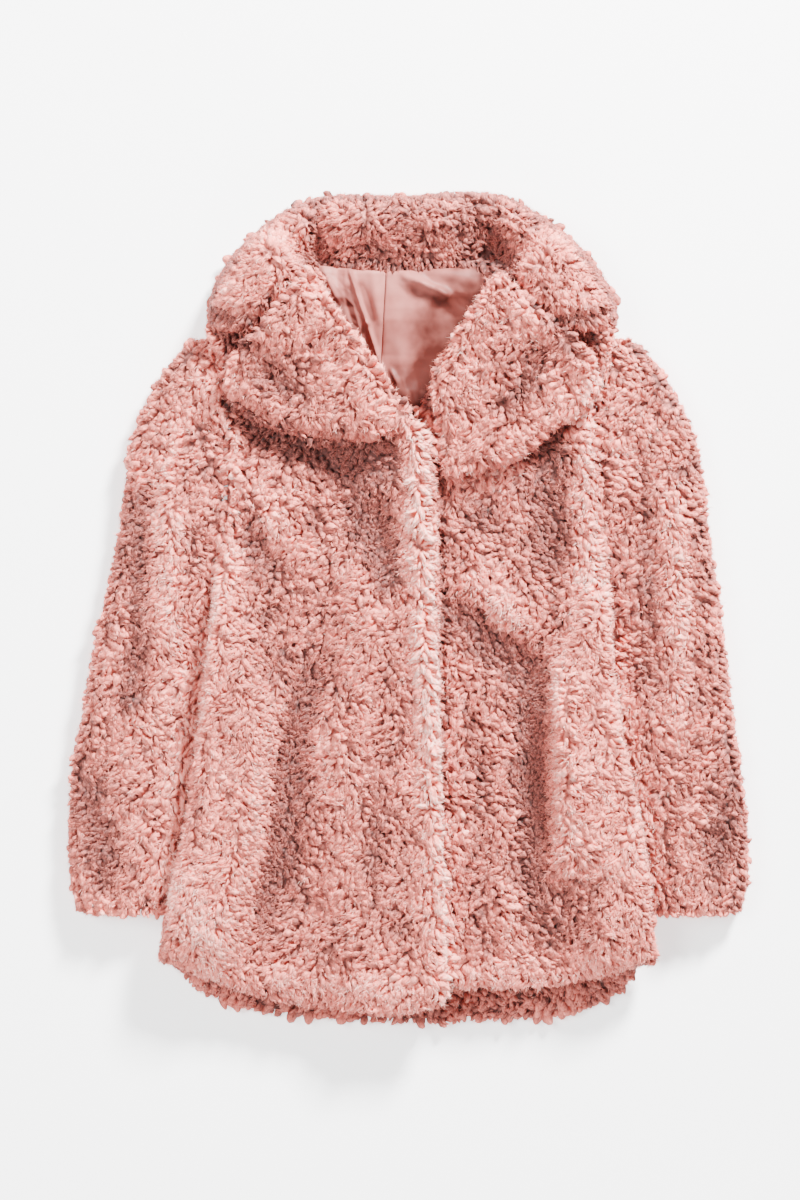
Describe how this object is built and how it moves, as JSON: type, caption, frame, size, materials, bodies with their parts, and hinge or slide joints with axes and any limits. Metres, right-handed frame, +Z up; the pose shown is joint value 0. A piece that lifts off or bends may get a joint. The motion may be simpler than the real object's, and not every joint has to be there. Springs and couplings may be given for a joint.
{
  "type": "coat",
  "caption": "Short pink faux fur coat with curly pile, a notched collar, wide lapels and long sleeves, laid flat on its back with a satin lining at the neck.",
  "frame": {"origin": "middle of the underside of the coat's bounding box, on the surface it lies on", "axes": "+X towards the wearer's left, +Y from the hem to the collar, +Z up, out of the coat's front"},
  "size_m": [0.6816, 0.835, 0.0701],
  "materials": {
    "fur": "curly pile",
    "lining": "satin"
  },
  "bodies": {
    "root": {"back": "fur", "front_right": "fur", "front_left": "fur", "sleeve_right_top": "fur", "sleeve_right_under": "fur", "sleeve_left_top": "fur", "sleeve_left_under": "fur", "lapel_right": "fur", "lapel_left": "fur", "collar": "fur", "lining_right": "lining", "lining_left": "lining"}
  },
  "joints": []
}
